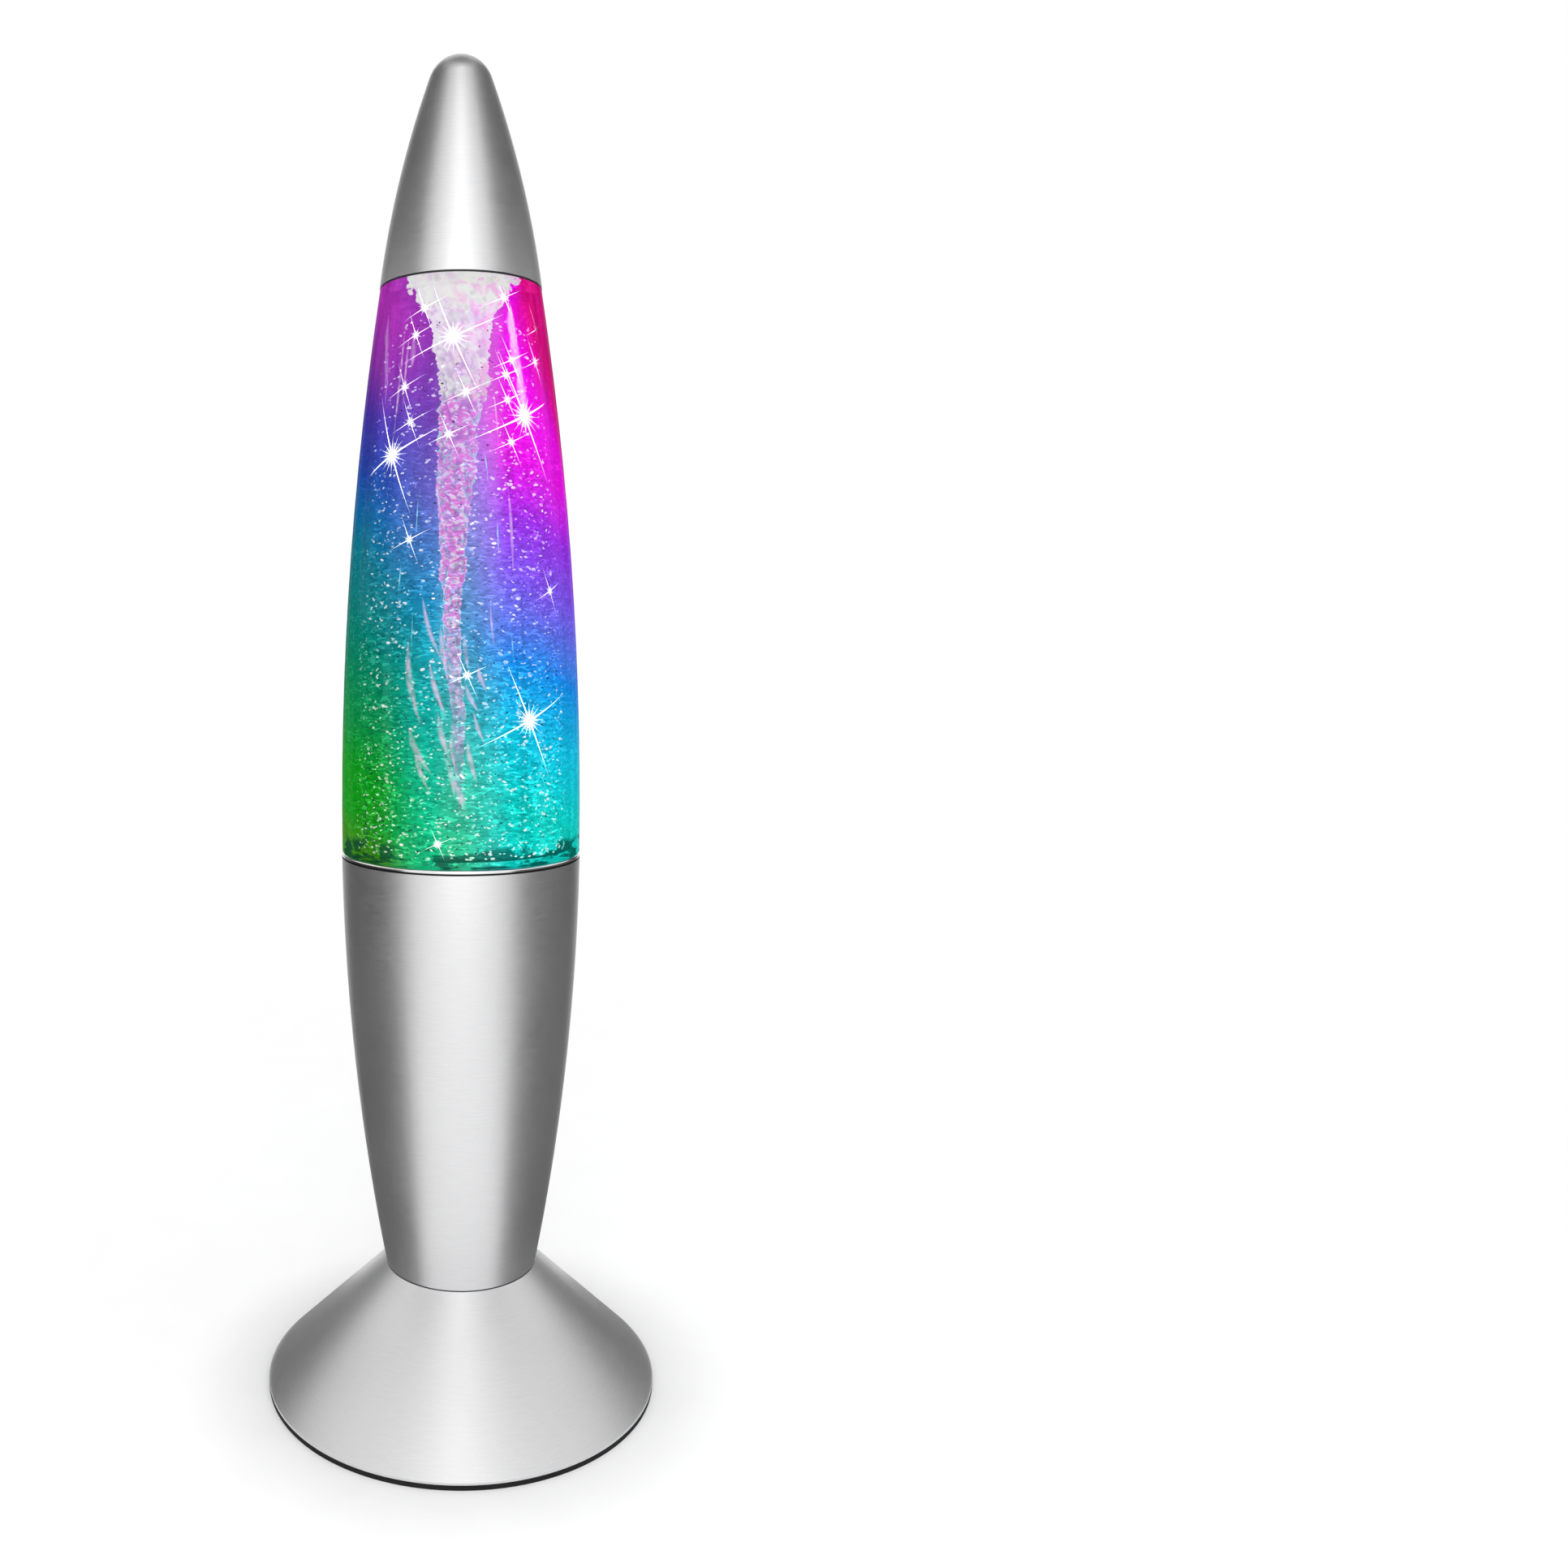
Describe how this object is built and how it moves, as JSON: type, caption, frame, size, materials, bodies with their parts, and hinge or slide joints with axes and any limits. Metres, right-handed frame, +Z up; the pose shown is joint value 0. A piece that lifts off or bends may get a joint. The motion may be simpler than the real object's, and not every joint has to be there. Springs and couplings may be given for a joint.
{
  "type": "glitter lamp",
  "caption": "Rocket-shaped glitter lamp: a silver cone and tapered barrel carry a clear bottle of stirred glitter liquid, lit from below, under a silver nose cap.",
  "frame": {"origin": "centre of the foot ring's underside, on the surface that the lamp stands on", "axes": "+Z up along the lamp's axis, -Y to the front, +Y to the back with the power jack and the switch"},
  "size_m": [0.11, 0.11, 0.36],
  "materials": {
    "silver_shell": "moulded plastic with a satin silver metallic paint",
    "bright_ring": "polished aluminium",
    "black_rubber": "matt black rubber",
    "black_plastic": "fine-textured black plastic",
    "jack_plastic": "smooth black plastic",
    "slider_plastic": "pale plastic",
    "contact_metal": "plated contact",
    "screw_steel": "zinc-plated steel",
    "board_green": "green solder mask on laminate",
    "board_white": "white solder mask on laminate",
    "component_black": "moulded component bodies",
    "light_lens": "clear light lens",
    "tray_white": "white reflective plastic",
    "motor_steel": "plain steel",
    "carrier_plastic": "dark moulded plastic",
    "magnet_nickel": "nickel-plated magnet",
    "wire_red": "red insulation",
    "wire_black": "black insulation",
    "wire_grey": "grey insulation",
    "clear_bottle": "clear blown plastic",
    "glitter_liquid": "clear liquid with fine silver glitter, lit in bands of colour",
    "stirrer_plastic": "translucent moulded plastic",
    "stopper_white": "white moulded plastic"
  },
  "bodies": {
    "housing": {"foot_ring": "black_rubber", "base_cone": "silver_shell", "base_plate": "black_plastic", "base_plate_screws": "screw_steel", "rear_panel": "black_plastic", "power_jack": "jack_plastic", "jack_pin": "contact_metal", "switch_body": "jack_plastic", "control_board": "board_green", "control_board_screws": "screw_steel", "board_components": "component_black", "barrel": "silver_shell", "barrel_screws": "screw_steel", "seat_ring": "bright_ring", "light_tray": "tray_white", "light_tray_screws": "screw_steel", "led_board": "board_white", "led_board_screws": "screw_steel", "rgb_leds": "light_lens", "motor_can": "motor_steel", "motor_end_cap": "tray_white", "motor_screws": "screw_steel", "motor_wire_red": "wire_red", "motor_wire_black": "wire_black", "led_wires": "wire_grey"},
    "rotor": {"motor_shaft": "motor_steel", "magnet_carrier": "carrier_plastic", "drive_magnets": "magnet_nickel"},
    "bottle": {"bottle": "clear_bottle", "stirrer_pin": "motor_steel", "glitter_liquid": "glitter_liquid", "bottle_stopper": "stopper_white", "stopper_seal": "black_rubber"},
    "stirrer": {"stirrer": "stirrer_plastic", "stirrer_magnets": "magnet_nickel"},
    "nose_cap": {"nose_cap": "silver_shell", "cap_liner": "black_plastic"},
    "switch_slider": {"switch_slider": "slider_plastic"}
  },
  "joints": [
    {"name": "motor_spin", "type": "hinge", "parent": "housing", "child": "rotor", "pos_m": [0, 0, 0.13], "axis": [0, 0, 1], "continuous": true},
    {"name": "bottle_lift", "type": "slide", "parent": "housing", "child": "bottle", "axis": [0, 0, 1], "range_m": [0, 0.03]},
    {"name": "stirrer_spin", "type": "hinge", "parent": "bottle", "child": "stirrer", "pos_m": [0, 0, 0.145], "axis": [0, 0, 1], "continuous": true},
    {"name": "cap_lift", "type": "slide", "parent": "bottle", "child": "nose_cap", "axis": [0, 0, 1], "range_m": [0, 0.03]},
    {"name": "switch_slide", "type": "slide", "parent": "housing", "child": "switch_slider", "axis": [1, 0, 0], "range_m": [-0.002, 0]}
  ],
  "couplings": [
    {"joint": "stirrer_spin", "follows": "motor_spin", "ratio": 1}
  ]
}
